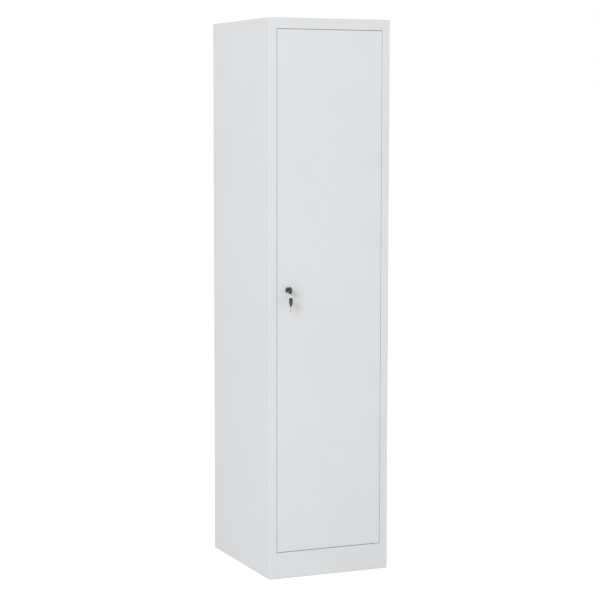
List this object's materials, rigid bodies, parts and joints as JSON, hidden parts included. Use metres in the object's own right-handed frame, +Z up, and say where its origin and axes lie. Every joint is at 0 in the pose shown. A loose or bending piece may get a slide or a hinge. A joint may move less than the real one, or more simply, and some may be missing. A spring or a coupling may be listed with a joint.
{
  "type": "tool storage side locker",
  "caption": "Tall narrow steel locker with a full-height inset door, a cam lock with key and spare key, and adjustable shelves.",
  "frame": {"origin": "on the floor at the middle of the carcass footprint, which is also the centre of the four floor-fixing holes", "axes": "+Z up; +X to the right as seen from the front; the door faces -Y"},
  "size_m": [0.42, 0.537, 1.8],
  "materials": {
    "painted_steel": "fine-textured light grey powder coat, satin",
    "zinc_plate": "bright zinc plate",
    "bright_plate": "nickel plate",
    "white_nylon": "moulded nylon",
    "grey_rubber": "soft rubber",
    "black_plastic": "moulded, satin"
  },
  "bodies": {
    "carcass": {"left_side": "painted_steel", "right_side": "painted_steel", "top_panel": "painted_steel", "kick_plate": "painted_steel", "back_panel": "painted_steel", "floor_panel": "painted_steel", "upright_front_left": "painted_steel", "upright_front_right": "painted_steel", "upright_rear_left": "painted_steel", "upright_rear_right": "painted_steel", "shelf_1": "painted_steel", "shelf_2": "painted_steel", "shelf_3": "painted_steel", "shelf_4": "painted_steel", "shelf_bracket_1_left": "zinc_plate", "shelf_bracket_1_right": "zinc_plate", "shelf_bracket_2_left": "zinc_plate", "shelf_bracket_2_right": "zinc_plate", "shelf_bracket_3_left": "zinc_plate", "shelf_bracket_3_right": "zinc_plate", "shelf_bracket_4_left": "zinc_plate", "shelf_bracket_4_right": "zinc_plate", "hinge_bracket_low": "zinc_plate", "hinge_bracket_high": "zinc_plate", "hinge_pin_low": "zinc_plate", "hinge_pin_high": "zinc_plate", "thrust_washer": "zinc_plate"},
    "door": {"door_skin": "painted_steel", "door_stiffener": "painted_steel", "door_buffer_low": "grey_rubber", "door_buffer_middle": "grey_rubber", "door_buffer_high": "grey_rubber", "hinge_plate_low": "zinc_plate", "hinge_plate_high": "zinc_plate", "hinge_bush_low": "white_nylon", "hinge_bush_high": "white_nylon", "lock_plate": "zinc_plate", "lock_housing": "bright_plate", "lock_nut": "zinc_plate"},
    "plug": {"lock_plug": "bright_plate", "lock_cam": "zinc_plate", "cam_screw": "zinc_plate"},
    "key": {"key_blade": "bright_plate", "key_head": "black_plastic"},
    "ring": {"key_ring": "bright_plate"},
    "spare_key": {"spare_key_blade": "bright_plate", "spare_key_head": "black_plastic"}
  },
  "joints": [
    {"name": "door_swing", "type": "hinge", "parent": "carcass", "child": "door", "pos_m": [0.1745, -0.245, 0.9261], "axis": [0, 0, 1], "range_deg": [0, 105]},
    {"name": "lock_turn", "type": "hinge", "parent": "door", "child": "plug", "pos_m": [-0.1467, -0.25, 0.9383], "axis": [0, 1, 0], "range_deg": [0, 90]},
    {"name": "key_pull", "type": "slide", "parent": "plug", "child": "key", "axis": [0, -1, 0], "range_m": [0, 0.025]},
    {"name": "ring_swing", "type": "hinge", "parent": "key", "child": "ring", "pos_m": [-0.1467, -0.276, 0.9383], "axis": [-1, 0, 0], "range_deg": [-10, 60]},
    {"name": "spare_swing", "type": "hinge", "parent": "ring", "child": "spare_key", "pos_m": [-0.1467, -0.276, 0.9103], "axis": [-1, 0, 0], "range_deg": [-10, 45]}
  ]
}
